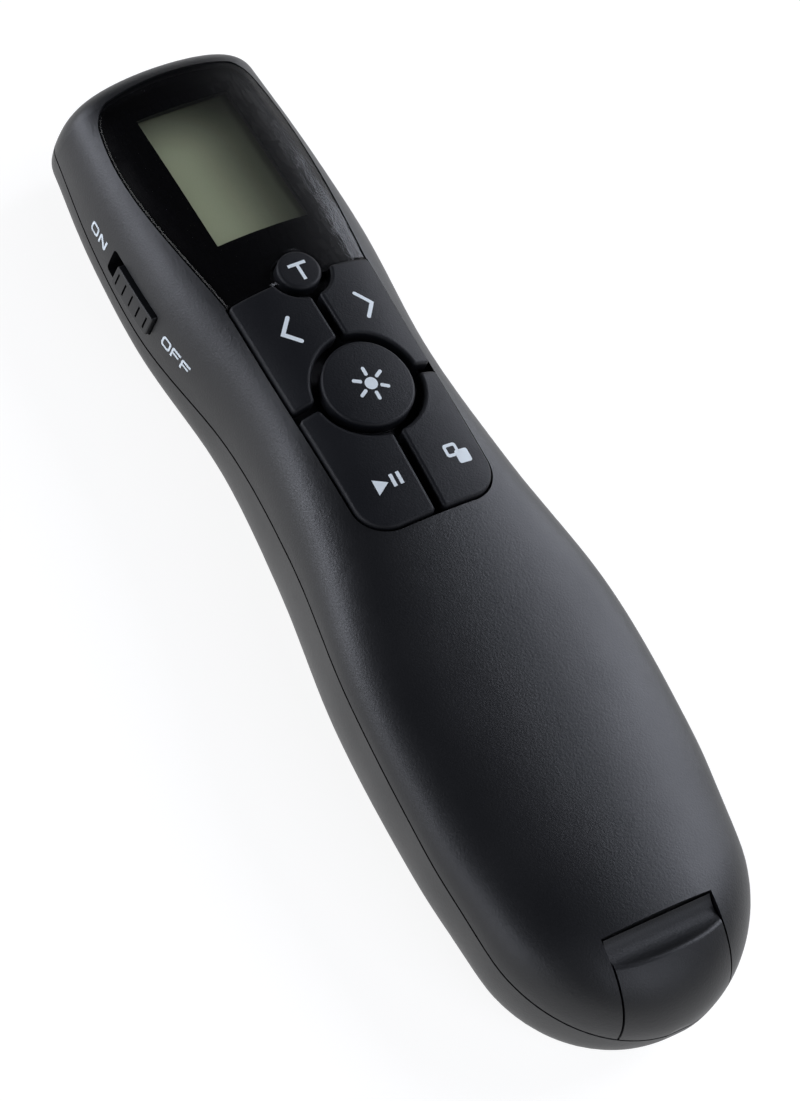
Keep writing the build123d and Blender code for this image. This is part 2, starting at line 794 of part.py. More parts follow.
for name, centre in key_centres.items():
    with BuildPart() as key:
        with BuildSketch(Plane.XY.offset(guide_top_z)):
            add(key_outline(name))
        extrude(amount=sky_z)
        add(key_top_form, mode=Mode.INTERSECT)
        add(key_base_form, mode=Mode.SUBTRACT)
        cap_face = key.faces().sort_by(lambda face: face.center().Z)[-1]
        fillet(cap_face.outer_wire().edges(), key_round)
        # Stem down to the push switch, with a barb that snaps in below the guide plate.
        stem_top_z = top_at(centre[1]) - key_skin + key_proud + stem_root
        with BuildSketch(Plane.XY.offset(stem_base_z)):
            with Locations(centre):
                Circle(key_stem_r)
        extrude(amount=stem_top_z - stem_base_z)
        with BuildSketch(Plane.XY.offset(stem_base_z)):
            with Locations(centre):
                Circle(stem_barb_r)
        extrude(amount=stem_barb_h)
    key.part.label = name + "_key"
    export_step(key.part, "parts/" + key.part.label + ".step")

    with BuildPart() as plunger:
        with BuildSketch(Plane.XY.offset(switch_top_z - switch_wall / 2)):
            with Locations(centre):
                Circle(plunger_r)
        extrude(amount=switch_wall / 2 + plunger_rise)
    plunger.part.label = name + "_plunger"
    export_step(plunger.part, "parts/" + plunger.part.label + ".step")

with BuildPart() as key_guide:
    guide_mid_y = (guide_front_y + guide_rear_y) / 2
    with BuildSketch(Plane.XY.offset(guide_base_z)):
        with Locations((0, guide_mid_y)):
            Rectangle(2 * guide_half, guide_front_y - guide_rear_y)
        with Locations(*key_centres.values()):
            Circle(key_stem_r + stem_gap, mode=Mode.SUBTRACT)
        with Locations(*guide_pin_spots):
            Circle(guide_pin_r + 0.05, mode=Mode.SUBTRACT)
        with Locations(case_screw_spots[0]):
            Circle(boss_r + fit_gap, mode=Mode.SUBTRACT)
    extrude(amount=guide_wall)
    add(trim_form, mode=Mode.INTERSECT)
key_guide.part.label = "key_guide"
export_step(key_guide.part, "parts/key_guide.step")

# ------------------------------------------------------------------ circuit board
with BuildPart() as main_board:
    with BuildSketch(Plane.XY.offset(board_base_z)):
        with BuildLine():
            Polyline(
                (-board_half_x, board_rear_y),
                (board_half_x, board_rear_y),
                (board_half_x, board_step_y),
                (board_nose_half_x, board_step_y),
                (board_nose_half_x, board_front_y),
                (-board_nose_half_x, board_front_y),
                (-board_nose_half_x, board_step_y),
                (-board_half_x, board_step_y),
                close=True,
            )
        make_face()
        with Locations(*case_screw_spots, *board_screw_spots):
            Circle(screw_r + move_gap, mode=Mode.SUBTRACT)
        with Locations((0, pin_y)):
            with GridLocations(lcd_pin_pitch, 1, lcd_pin_count, 1):
                Rectangle(lcd_pin_size + 0.1, lcd_pin_size + 0.1, mode=Mode.SUBTRACT)
    extrude(amount=board_wall)
main_board.part.label = "main_board"
export_step(main_board.part, "parts/main_board.step")

with BuildPart() as push_switches:
    with BuildSketch(Plane.XY.offset(board_top_z)):
        with Locations(*key_centres.values()):
            Rectangle(switch_side, switch_side)
    extrude(amount=switch_wall)
    with BuildSketch(Plane.XY.offset(board_top_z + 0.2)):
        with Locations(*key_centres.values()):
            Circle(plunger_r + 0.1)
    extrude(amount=switch_wall, mode=Mode.SUBTRACT)
push_switches.part.label = "push_switches"
export_step(push_switches.part, "parts/push_switches.step")

for name, (x, y, size_x, size_y, height) in chips.items():
    with BuildPart() as chip:
        with BuildSketch(Plane.XY.offset(board_top_z)):
            with Locations((x, y)):
                Rectangle(size_x, size_y)
        extrude(amount=height)
        top_face = chip.faces().sort_by(Axis.Z)[-1]
        chamfer(top_face.edges(), 0.2)
    chip.part.label = name
    export_step(chip.part, "parts/" + name + ".step")

# ------------------------------------------------------------------ on/off slider
lever_x = -board_half_x + 0.3
with BuildPart() as slide_switch:
    with BuildSketch(Plane.XY.offset(board_base_z)):
        with Locations((lever_x + slide_body_x / 2, slot_y)):
            Rectangle(slide_body_x, slide_body_y)
    extrude(amount=-slide_body_z)
    # Open channel for the lever.
    with BuildSketch(slider_plane(lever_x + lever_root + fork_gap)):
        Rectangle(slider_travel + slide_lever + 2 * fork_gap, slide_lever + 2 * move_gap)
    extrude(amount=slide_body_x, mode=Mode.SUBTRACT)
slide_switch.part.label = "slide_switch"
export_step(slide_switch.part, "parts/slide_switch.step")

with BuildPart() as slide_lever_part:
    with BuildSketch(slider_plane(lever_x + lever_root, knob_rest)):
        Rectangle(slide_lever, slide_lever)
    extrude(amount=lever_length)
slide_lever_part.part.label = "slide_lever"
export_step(slide_lever_part.part, "parts/slide_lever.step")

with BuildPart() as slits:
    with BuildSketch(slider_plane(slider_plate_x, knob_rest)):
        with GridLocations(slider_slit_pitch, 1, slider_slit_count, 1):
            Rectangle(slider_slit_width, slider_slit_length)
    extrude(amount=slider_reach)
    add(body_form(slider_slit_depth - slider_proud), mode=Mode.SUBTRACT)

with BuildPart() as slider_knob:
    with BuildSketch(slider_plane(slider_plate_x, knob_rest)):
        knob_shape = Rectangle(knob_length, knob_height)
        fillet(knob_shape.vertices(), slot_round - slider_side_gap)
    extrude(amount=slider_reach)
    add(body_form(-slider_proud), mode=Mode.INTERSECT)
    fillet(slider_knob.faces().sort_by(Axis.X)[0].outer_wire().edges(), slider_round)
    add(slits.part, mode=Mode.SUBTRACT)
    # Plate behind the slot.
    plate_length = slot_length + slider_travel + 2 * slider_overlap
    with BuildSketch(slider_plane(slider_plate_x + slider_plate_wall, knob_rest)):
        Rectangle(plate_length, slot_height + 2 * slider_overlap)
    extrude(amount=slider_plate_wall)
    # Fork that carries the switch lever.
    with BuildSketch(slider_plane(slider_plate_x + slider_plate_wall + fork_length, knob_rest)):
        for side in (-1, 1):
            with Locations((side * (slide_lever / 2 + fork_gap + fork_wall / 2), 0)):
                Rectangle(fork_wall, slide_lever + 1.0)
    extrude(amount=fork_length)
slider_knob.part.label = "slider_knob"
export_step(slider_knob.part, "parts/slider_knob.step")

# ------------------------------------------------------------------ laser
with BuildPart() as laser_ring:
    with BuildSketch(Plane.XZ.offset(-laser_ring_y)):
        with Locations((0, laser_z)):
            Circle(laser_ring_r)
            Circle(laser_ring_hole_r, mode=Mode.SUBTRACT)
    extrude(amount=laser_ring_length)
    with BuildSketch(Plane.XZ.offset(laser_ring_length - laser_ring_y)):
        with Locations((0, laser_z)):
            Circle(laser_ring_hole_r + 0.6)
    extrude(amount=-laser_lens_wall, mode=Mode.SUBTRACT)
laser_ring.part.label = "laser_ring"
export_step(laser_ring.part, "parts/laser_ring.step")

with BuildPart() as laser_lens:
    with BuildSketch(Plane.XZ.offset(laser_ring_length - laser_ring_y)):
        with Locations((0, laser_z)):
            Circle(laser_ring_hole_r + 0.6)
    extrude(amount=-laser_lens_wall)
laser_lens.part.label = "laser_lens"
export_step(laser_lens.part, "parts/laser_lens.step")

with BuildPart() as laser_barrel:
    with BuildSketch(Plane.XZ.offset(-barrel_front_y)):
        with Locations((0, laser_z)):
            Circle(laser_barrel_r)
    extrude(amount=laser_barrel_length)
    with BuildSketch(Plane.XZ.offset(-barrel_front_y)):
        with Locations((0, laser_z)):
            Circle(laser_ring_hole_r)
    extrude(amount=2.0, mode=Mode.SUBTRACT)
laser_barrel.part.label = "laser_barrel"
export_step(laser_barrel.part, "parts/laser_barrel.step")

with BuildPart() as laser_leads:
    for side in (-1, 1):
        with BuildSketch(Plane.XZ.offset(-barrel_rear_y)):
            with Locations((side * lead_x, laser_z)):
                Rectangle(2 * lead_r, 2 * lead_r)
        extrude(amount=1.5)
        with BuildSketch(Plane.XY.offset(laser_z - lead_r)):
            with Locations((side * lead_x, barrel_rear_y - 1.5 - lead_r)):
                Rectangle(2 * lead_r, 2 * lead_r)
        extrude(amount=board_base_z - laser_z + lead_r)
laser_leads.part.label = "laser_leads"
export_step(laser_leads.part, "parts/laser_leads.step")

# ------------------------------------------------------------------ cells and contacts
# The left cell's nub points to the nose, the right cell's to the tail.
cell_ends = {
    -1: (bay_front_y - contact_wall, -1),
    1: (bay_rear_y + contact_wall, 1),
}
with BuildPart() as battery_cells:
    for side, (nub_y, towards) in cell_ends.items():
        x = side * cell_spacing / 2
        with BuildSketch(Plane.XZ.offset(-nub_y)):
            with Locations((x, cell_z)):
                Circle(cell_nub_r)
        extrude(amount=-towards * cell_nub_length)
        with BuildSketch(Plane.XZ.offset(-(nub_y + towards * cell_nub_length))):
            with Locations((x, cell_z)):
                Circle(cell_r)
        extrude(amount=-towards * cell_length)
battery_cells.part.label = "battery_cells"
export_step(battery_cells.part, "parts/battery_cells.step")

with BuildPart() as contact_plates:
    for y, towards in ((bay_front_y, 1), (bay_rear_y + contact_wall, 1)):
        with BuildSketch(Plane.XZ.offset(-y)):
            for side in (-1, 1):
                with Locations((side * cell_spacing / 2, cell_z)):
                    Rectangle(2 * contact_half, 2 * contact_half)
        extrude(amount=contact_wall)
contact_plates.part.label = "contact_plates"
export_step(contact_plates.part, "parts/contact_plates.step")

spring_height = spring_length - 2 * spring_wire_r
with BuildPart() as battery_springs:
    for side, (nub_y, towards) in cell_ends.items():
        flat_end_y = nub_y + towards * (cell_nub_length + cell_length)
        with BuildLine() as coil:
            Helix(
                pitch=spring_height / spring_turns,
                height=spring_height,
                radius=spring_r,
                center=(side * cell_spacing / 2, flat_end_y + towards * spring_wire_r, cell_z),
                direction=(0, towards, 0),
            )
        with BuildSketch(Plane(origin=coil.line @ 0, z_dir=coil.line % 0)):
            Circle(spring_wire_r)
        sweep(path=coil.line)
battery_springs.part.label = "battery_springs"
export_step(battery_springs.part, "parts/battery_springs.step")

# ------------------------------------------------------------------ screws

def screws(spots, head_top_z, length):
    """Pan-head screws driven upwards, one solid each."""
    with BuildPart() as group:
        with BuildSketch(Plane.XY.offset(head_top_z)):
            with Locations(*spots):
                Circle(screw_head_r)
        extrude(amount=-screw_head_h)
        with BuildSketch(Plane.XY.offset(head_top_z)):
            with Locations(*spots):
                Circle(screw_r)
        extrude(amount=length)
        with BuildSketch(Plane.XY.offset(head_top_z - screw_head_h)):
            with Locations(*spots):
                Rectangle(screw_head_r, screw_slot)
                Rectangle(screw_slot, screw_head_r)
        extrude(amount=0.6, mode=Mode.SUBTRACT)
    return group.part


case_screws = screws(case_screw_spots, bay_roof_z, case_screw_length)
case_screws.label = "case_screws"
export_step(case_screws, "parts/case_screws.step")
board_screws = screws(board_screw_spots, board_base_z, board_screw_length)
board_screws.label = "board_screws"
export_step(board_screws, "parts/board_screws.step")

# ------------------------------------------------------------------ receiver
with BuildPart() as receiver_cap:
    add(outer_form)
    with BuildSketch(Plane.XY):
        with Locations((0, cap_front_y + 1.5 * tail_y / 2)):
            Rectangle(2 * (receiver_half_x - receiver_gap), -1.5 * tail_y)
    extrude(amount=sky_z, mode=Mode.INTERSECT)
    add(above_seam, mode=Mode.INTERSECT)
    # Thumb scoop.
    scoop_z = top_at(scoop_y) + scoop_lift
    with BuildSketch(Plane.YZ.offset(-receiver_half_x - 1)):
        with Locations((scoop_y, scoop_z)):
            Circle(scoop_r)
    extrude(amount=2 * receiver_half_x + 2, mode=Mode.SUBTRACT)
    scoop_edges = receiver_cap.edges().filter_by(lambda e: abs(e.center().X) < 1 and e.length > 10)
    rear_edge = scoop_edges.filter_by(lambda e: scoop_y - scoop_r < e.center().Y < scoop_y)
    fillet(rear_edge.sort_by(Axis.Z)[-1], scoop_round)
    # Socket for the plug's root and the board behind it.
    with BuildSketch(Plane.XZ.offset(-cap_front_y)):
        with Locations((0, plug_z)):
            Rectangle(2 * plug_half_x, plug_height)
    extrude(amount=plug_root, mode=Mode.SUBTRACT)
receiver_cap.part.label = "receiver_cap"
export_step(receiver_cap.part, "parts/receiver_cap.step")

with BuildPart() as usb_shell:
    with BuildSketch(Plane.XZ.offset(-plug_tip_y)):
        with Locations((0, plug_z)):
            Rectangle(2 * plug_half_x, plug_height)
            Rectangle(2 * (plug_half_x - plug_wall), plug_height - 2 * plug_wall, mode=Mode.SUBTRACT)
    extrude(amount=plug_length + plug_root)
    # Latch windows, top and bottom.
    with BuildSketch(Plane.XY):
        with Locations((0, plug_tip_y - 6.0)):
            with GridLocations(5.0, 1, 2, 1):
                Rectangle(2.2, 1.9)
    extrude(amount=sky_z, mode=Mode.SUBTRACT)
usb_shell.part.label = "usb_shell"
export_step(usb_shell.part, "parts/usb_shell.step")

tongue_base_z = plug_z - plug_height / 2 + plug_wall
with BuildPart() as usb_tongue:
    with BuildSketch(Plane.XZ.offset(-(plug_tip_y - 0.4))):
        with Locations((0, tongue_base_z + tongue_height / 2)):
            Rectangle(2 * (plug_half_x - plug_wall), tongue_height)
    extrude(amount=plug_length + plug_root - 0.4)
usb_tongue.part.label = "usb_tongue"
export_step(usb_tongue.part, "parts/usb_tongue.step")

with BuildPart() as usb_contacts:
    with BuildSketch(Plane.XY.offset(tongue_base_z + tongue_height)):
        with Locations((0, plug_tip_y - 1.6 - 3.7)):
            with GridLocations(usb_pitch, 1, 4, 1):
                Rectangle(1.1, 7.4)
    extrude(amount=0.15)
usb_contacts.part.label = "usb_contacts"
export_step(usb_contacts.part, "parts/usb_contacts.step")

with BuildPart() as receiver_tray:
    tray_half = plug_half_x + tray_gap
    tray_base_z = plug_z - plug_height / 2 - tray_gap
    tray_rear_y = receiver_front_y + 0.3
    tray_front_y = plug_tip_y + tray_gap
    with BuildSketch(Plane.XY.offset(tray_base_z - tray_wall)):
        with BuildLine():
            Polyline(
                (-tray_half - tray_wall, tray_rear_y),
                (tray_half + tray_wall, tray_rear_y),
                (tray_half + tray_wall, tray_front_y + tray_wall),
                (-tray_half - tray_wall, tray_front_y + tray_wall),
                close=True,
            )
        make_face()
    extrude(amount=sky_z)
    with BuildSketch(Plane.XY.offset(tray_base_z)):
        with BuildLine():
            Polyline(
                (-tray_half, 2 * tail_y),
                (tray_half, 2 * tail_y),
                (tray_half, tray_front_y),
                (-tray_half, tray_front_y),
                close=True,
            )
        make_face()
    extrude(amount=sky_z, mode=Mode.SUBTRACT)
    add(trim_form, mode=Mode.INTERSECT)
receiver_tray.part.label = "receiver_tray"
export_step(receiver_tray.part, "parts/receiver_tray.step")
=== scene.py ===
# %% [markdown]
# # A wireless presentation clicker
# A hand-held remote: two black plastic shells, a glossy window over a small display, six keys,
# a power slider in its left flank, a laser in its nose and a receiver stowed in its tail.
# The solids come from a CAD model, in metres, and stay where they are. This lesson gives them
# their finishes, prints the legends on them, and sets up the floor, the light and the camera.

# %% Load the CAD model
import json
import math

import bmesh
import bpy
from mathutils import Euler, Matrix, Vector
from mathutils.bvhtree import BVHTree

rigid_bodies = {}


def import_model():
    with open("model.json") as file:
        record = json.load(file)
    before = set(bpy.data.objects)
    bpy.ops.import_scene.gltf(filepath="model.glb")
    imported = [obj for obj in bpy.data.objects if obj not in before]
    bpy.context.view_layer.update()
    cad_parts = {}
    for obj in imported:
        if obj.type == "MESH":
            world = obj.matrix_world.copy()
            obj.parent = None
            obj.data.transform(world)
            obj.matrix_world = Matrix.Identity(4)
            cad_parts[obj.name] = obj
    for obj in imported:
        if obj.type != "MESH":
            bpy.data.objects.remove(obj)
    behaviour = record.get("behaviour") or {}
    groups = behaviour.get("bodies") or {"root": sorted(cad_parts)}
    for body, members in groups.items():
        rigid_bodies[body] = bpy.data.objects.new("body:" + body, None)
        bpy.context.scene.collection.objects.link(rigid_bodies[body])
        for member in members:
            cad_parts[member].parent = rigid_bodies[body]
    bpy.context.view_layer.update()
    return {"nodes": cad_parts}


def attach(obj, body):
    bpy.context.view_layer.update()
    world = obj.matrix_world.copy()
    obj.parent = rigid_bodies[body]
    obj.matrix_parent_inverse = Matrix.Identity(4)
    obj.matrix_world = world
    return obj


for leftover in list(bpy.data.objects):
    bpy.data.objects.remove(leftover)
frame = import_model()
cad_pieces = frame["nodes"]
MM = 0.001
print("CAD pieces:", len(cad_pieces))

# %% [markdown]
# ## The camera
# The clicker lies with its nose at the upper left and is seen from above its left shoulder. A
# wide lens close by would swell the end that is nearer. A long lens from further off keeps the
# perspective weak, so the outline shows its true proportions. The place is in metres and the
# turn in degrees, in the piece's own frame.

# %% Camera
LENS, PICTURE_HEIGHT = 98.1, 24.0
NEAREST_SEEN = 10 * MM
CAMERA_PLACE = (-231.3 * MM, -163.9 * MM, 467.0 * MM)
CAMERA_TURN = (28.58, -14.60, -29.84)

lens = bpy.data.cameras.new("camera")
lens.sensor_fit = "VERTICAL"
lens.sensor_height = PICTURE_HEIGHT
lens.lens = LENS
lens.clip_start = NEAREST_SEEN
camera = bpy.data.objects.new("camera", lens)
camera.location = CAMERA_PLACE
camera.rotation_euler = Euler([math.radians(a) for a in CAMERA_TURN], "XYZ")
bpy.context.collection.objects.link(camera)
bpy.context.scene.camera = camera
print("camera:", round(camera.location.length, 3), "m from the middle of the base")

# %% [markdown]
# ## Moulded plastic
# The shells are black plastic with a fine spark-eroded grain, about a quarter of a millimetre
# across. Close up it breaks the highlight into specks, and from afar it only softens it. The
# grain could be real geometry, but at this size a bump gives the same look with far fewer
# faces. It reads Object coordinates, so it needs no unwrapping.

# %% A plain finish
SHELL_BLACK = (0.0040, 0.0043, 0.0055)


def shader_of(finish):
    """The Principled shader of a finish."""
    return finish.node_tree.nodes["Principled BSDF"]


def new_finish(name, colour, roughness, metallic=0.0, specular=0.5):
    """A material of one colour and one roughness."""
    finish = bpy.data.materials.new(name)
    finish.use_nodes = True
    sockets = shader_of(finish).inputs
    sockets["Base Color"].default_value = (*colour, 1.0)
    sockets["Roughness"].default_value = roughness
    sockets["Metallic"].default_value = metallic
    sockets["Specular IOR Level"].default_value = specular
    return finish


shell_plastic = new_finish("shell plastic", SHELL_BLACK, roughness=0.45)
print("made:", shell_plastic.name)

# %% Spark-eroded grain
GRAIN_SHARPNESS = 0.6
EVEN = (1, 1, 1)


def wire(tree, *pairs):
    """Links each output to its input."""
    for output, into in pairs:
        tree.links.new(output, into)


def object_noise(finish, size, detail, sharpness, stretch=EVEN):
    """Noise on Object coordinates, with specks about size metres across."""
    tree = finish.node_tree
    place = tree.nodes.new("ShaderNodeTexCoord")
    mapping = tree.nodes.new("ShaderNodeMapping")
    mapping.inputs["Scale"].default_value = stretch
    noise = tree.nodes.new("ShaderNodeTexNoise")
    noise.inputs["Scale"].default_value = 1.0 / size
    noise.inputs["Detail"].default_value = detail
    noise.inputs["Roughness"].default_value = sharpness
    wire(tree, (place.outputs["Object"], mapping.inputs["Vector"]),
         (mapping.outputs["Vector"], noise.inputs["Vector"]))
    return noise.outputs["Fac"]


def add_grain(finish, size, depth, strength, detail=2.0):
    """A bump with grains size metres across and depth metres deep."""
    tree = finish.node_tree
    bump = tree.nodes.new("ShaderNodeBump")
    bump.inputs["Strength"].default_value = strength
    bump.inputs["Distance"].default_value = depth
    wire(tree, (object_noise(finish, size, detail, GRAIN_SHARPNESS), bump.inputs["Height"]),
         (bump.outputs["Normal"], shader_of(finish).inputs["Normal"]))
    print("grain on", finish.name)


add_grain(shell_plastic, size=0.28 * MM, depth=0.045 * MM, strength=0.7, detail=3.0)

# %% [markdown]
# ## Signs of handling
# Skin polishes plastic here and there, so its gloss is never quite even. The roughness could be
# painted by hand. A slow noise does it over the whole piece at once. Such noise seldom leaves
# the middle of its range, so that middle is stretched to the two roughnesses asked for.

# %% Uneven gloss
SLOW_DETAIL, SLOW_SHARPNESS = 3.0, 0.5
NOISE_LOW, NOISE_HIGH = 0.3, 0.7


def vary_roughness(finish, size, low, high, stretch=EVEN):
    """Roughness that drifts between low and high over about size metres."""
    tree = finish.node_tree
    noise = object_noise(finish, size, SLOW_DETAIL, SLOW_SHARPNESS, stretch)
    spread = tree.nodes.new("ShaderNodeMapRange")
    for socket, value in (("From Min", NOISE_LOW), ("From Max", NOISE_HIGH),
                          ("To Min", low), ("To Max", high)):
        spread.inputs[socket].default_value = value
    wire(tree, (noise, spread.inputs["Value"]),
         (spread.outputs["Result"], shader_of(finish).inputs["Roughness"]))
    print("uneven gloss on", finish.name, "from", low, "to", high)


vary_roughness(shell_plastic, 9 * MM, 0.43, 0.47)

# %% Dress the shells
def dress(finish, *names):
    """Gives CAD pieces their finish."""
    for name in names:
        slots = cad_pieces[name].data.materials
        slots.clear()
        slots.append(finish)
    print(finish.name, "on", ", ".join(names))


dress(shell_plastic, "upper_shell", "lower_shell", "battery_door", "receiver_cap")

# %% [markdown]
# ## Keys and slider
# The keys are a duller plastic than the shells, and the slider a smoother one. All three could
# share one finish, but under the same lamps the keys have to stay darker than the shell round
# them. Less specular reflection and more roughness do that, with nearly the same black.

# %% Keys and slider
KEY_BLACK = (0.0050, 0.0055, 0.0075)
SLIDER_BLACK = (0.0045, 0.0048, 0.0060)
KEYS = ("timer", "previous", "next", "laser", "play", "swap")

key_plastic = new_finish("key plastic", KEY_BLACK, roughness=0.53, specular=0.27)
add_grain(key_plastic, size=0.26 * MM, depth=0.045 * MM, strength=0.8, detail=3.0)
vary_roughness(key_plastic, 5 * MM, 0.51, 0.56)
dress(key_plastic, *[key + "_key" for key in KEYS])

slider_plastic = new_finish("slider plastic", SLIDER_BLACK, roughness=0.46, specular=0.45)
add_grain(slider_plastic, size=0.22 * MM, depth=0.02 * MM, strength=0.3)
dress(slider_plastic, "slider_knob")

# %% [markdown]
# ## Window and print
# A clear pane covers the head, and black print behind it hides the inside, except for an
# opening over the display. The pane could be glass with Transmission, which is slow and noisy
# for a thin sheet over black. Here a low Alpha lets the display through. It weakens the
# reflection as well, and a high IOR brings that back.

# %% Window and print
PANE_TINT = (0.0006, 0.0006, 0.001)
PANE_IOR = 2.4
PANE_ALPHA = 0.22
PRINT_BLACK = (0.0015, 0.0015, 0.002)

pane_clear = new_finish("clear window", PANE_TINT, roughness=0.2)
shader_of(pane_clear).inputs["IOR"].default_value = PANE_IOR
shader_of(pane_clear).inputs["Alpha"].default_value = PANE_ALPHA
dress(pane_clear, "display_window")
print_black = new_finish("black print", PRINT_BLACK, roughness=0.5, specular=0.05)
dress(print_black, "display_mask")

# %% [markdown]
# ## Display
# The display is switched off. What shows is its silvery film, a little green and finely
# speckled. Its right and far edges are darkened by painted shade, for the soft shadow of its
# recess. A dark rim could be left to shadows, but the film lies too near the window for those to
# be this soft. Two smooth fades along the piece's own axes, multiplied, paint the shade instead.

# %% Painted shade on the film
# Painted shade: how dark the film's right and far edges get, and where the fades run.
PAINTED_SHADE_DARKEST = 0.2
SHADE_FADE_RIGHT = (-5.0 * MM, 5.5 * MM)
SHADE_FADE_FAR = (53.0 * MM, 62.5 * MM)


def painted_shade_fade(tree, along, start, end):
    """Painted shade: a number that falls smoothly from 1 at start to its darkest at end."""
    fade = tree.nodes.new("ShaderNodeMapRange")
    fade.interpolation_type = "SMOOTHSTEP"
    for socket, value in (("From Min", start), ("From Max", end),
                          ("To Min", 1.0), ("To Max", PAINTED_SHADE_DARKEST)):
        fade.inputs[socket].default_value = value
    wire(tree, (along, fade.inputs["Value"]))
    return fade.outputs["Result"]


def painted_film_shade(tree):
    """Painted shade on the film: both fades, multiplied."""
    place = tree.nodes.new("ShaderNodeTexCoord")
    split = tree.nodes.new("ShaderNodeSeparateXYZ")
    product = tree.nodes.new("ShaderNodeMath")
    product.operation = "MULTIPLY"
    wire(tree, (place.outputs["Object"], split.inputs["Vector"]),
         (painted_shade_fade(tree, split.outputs["X"], *SHADE_FADE_RIGHT), product.inputs[0]),
         (painted_shade_fade(tree, split.outputs["Y"], *SHADE_FADE_FAR), product.inputs[1]))
    return product.outputs["Value"]


print("film fades from 1 to", PAINTED_SHADE_DARKEST)

# %% Display film
FILM_COLOUR = (0.84, 0.90, 0.61)
BLACK = (0.0, 0.0, 0.0)
# A Mix node has sockets of the same name for numbers and for colours. These are the colours'.
MIX_AMOUNT, MIX_FIRST, MIX_SECOND, MIX_RESULT = 0, 6, 7, 2


def mix_colours(finish, amount, first, second):
    """Base Color between two colours, by a number that another node gives."""
    tree = finish.node_tree
    mix = tree.nodes.new("ShaderNodeMix")
    mix.data_type = "RGBA"
    mix.inputs[MIX_FIRST].default_value = (*first, 1.0)
    mix.inputs[MIX_SECOND].default_value = (*second, 1.0)
    wire(tree, (amount, mix.inputs[MIX_AMOUNT]),
         (mix.outputs[MIX_RESULT], shader_of(finish).inputs["Base Color"]))


display_film = new_finish("display film", FILM_COLOUR, roughness=0.58, metallic=0.75)
add_grain(display_film, size=0.22 * MM, depth=0.03 * MM, strength=0.8)
# Painted shade darkens the film's colour towards its right and far edges.
mix_colours(display_film, painted_film_shade(display_film.node_tree), BLACK, FILM_COLOUR)
dress(display_film, "lcd_glass")

# %% [markdown]
# ## Inner plastics
# Inside are frames, switches, chips and cells, seen only when the receiver is out or the
# battery door is open. Each finish could have a cell of its own, as the shells' has. They differ
# in only a few numbers, so a table holds those and one loop makes them: smooth plastics have an
# uneven gloss, and dull ones a fine grain.

# %% Smooth plastics
SMOOTH_PLASTICS = (
    # name, colour, roughness, size of its drift in mm, lowest and highest, pieces
    ("inner plastic", (0.035, 0.035, 0.04), 0.5, 6, 0.42, 0.55,
     ("lcd_frame", "key_guide", "receiver_tray")),
    ("plunger", (0.50, 0.10, 0.07), 0.42, 1, 0.38, 0.48, [key + "_plunger" for key in KEYS]),
    ("laser ring", (0.010, 0.010, 0.011), 0.32, 2, 0.28, 0.38, ("laser_ring",)),
    ("cell sleeve", (0.06, 0.065, 0.08), 0.3, 8, 0.25, 0.36, ("battery_cells",)),
)
for name, colour, roughness, drift, low, high, pieces in SMOOTH_PLASTICS:
    plastic = new_finish(name, colour, roughness)
    vary_roughness(plastic, drift * MM, low, high)
    dress(plastic, *pieces)

# %% Dull plastics
FINE_DEPTH = 0.01 * MM
DULL_PLASTICS = (
    # name, colour, roughness, size of its grain in mm, strength, pieces
    ("chip package", (0.014, 0.014, 0.015), 0.6, 0.1, 0.4, ("controller_chip", "radio_chip")),
    ("switch housing", (0.03, 0.03, 0.032), 0.48, 0.15, 0.3, ("push_switches", "slide_lever")),
    ("plug tongue", (0.02, 0.02, 0.022), 0.5, 0.15, 0.3, ("usb_tongue",)),
)
for name, colour, roughness, grain, strength, pieces in DULL_PLASTICS:
    plastic = new_finish(name, colour, roughness)
    add_grain(plastic, grain * MM, FINE_DEPTH, strength)
    dress(plastic, *pieces)

# %% Board and lens
MASK_DARK, MASK_GREEN, MASK_PALE = (0.012, 0.11, 0.05), (0.015, 0.13, 0.06), (0.02, 0.15, 0.07)
LENS_RED = (0.05, 0.02, 0.02)

board_mask = new_finish("board solder mask", MASK_GREEN, roughness=0.35)
mottle = object_noise(board_mask, 12 * MM, SLOW_DETAIL, SLOW_SHARPNESS)
mix_colours(board_mask, mottle, MASK_DARK, MASK_PALE)
dress(board_mask, "main_board")
lens_clear = new_finish("laser lens", LENS_RED, roughness=0.05)
dress(lens_clear, "laser_lens")

# %% [markdown]
# ## Metals
# The plug's shell, the contacts, the springs and the screws are plated or bare metal. A metal
# takes its whole look from its reflection, so its roughness matters more than its colour.
# Streaks on drawn and turned metal could be scratched in one by one. A noise gives them too,
# once it is stretched along one axis.

# %% Metals
METALS = (
    # name, colour, roughness, size of its drift in mm, lowest and highest, streaks, pieces
    ("nickel plate", (0.62, 0.60, 0.56), 0.28, 2, 0.22, 0.36, (1, 1, 6),
     ("crystal", "slide_switch", "contact_plates", "usb_shell", "lcd_pins")),
    ("spring wire", (0.58, 0.57, 0.55), 0.32, 1, 0.26, 0.4, EVEN, ("battery_springs",)),
    ("dark zinc", (0.30, 0.30, 0.31), 0.38, 1, 0.3, 0.45, EVEN, ("case_screws", "board_screws")),
    ("turned brass", (0.70, 0.50, 0.22), 0.3, 1.5, 0.24, 0.38, (1, 8, 1), ("laser_barrel",)),
    ("tinned copper", (0.70, 0.42, 0.28), 0.35, 1, 0.3, 0.45, EVEN, ("laser_leads",)),
    ("gold plate", (0.78, 0.58, 0.25), 0.25, 1, 0.2, 0.32, EVEN, ("usb_contacts",)),
)
for name, colour, roughness, drift, low, high, streaks, pieces in METALS:
    metal = new_finish(name, colour, roughness, metallic=1.0)
    vary_roughness(metal, drift * MM, low, high, streaks)
    dress(metal, *pieces)

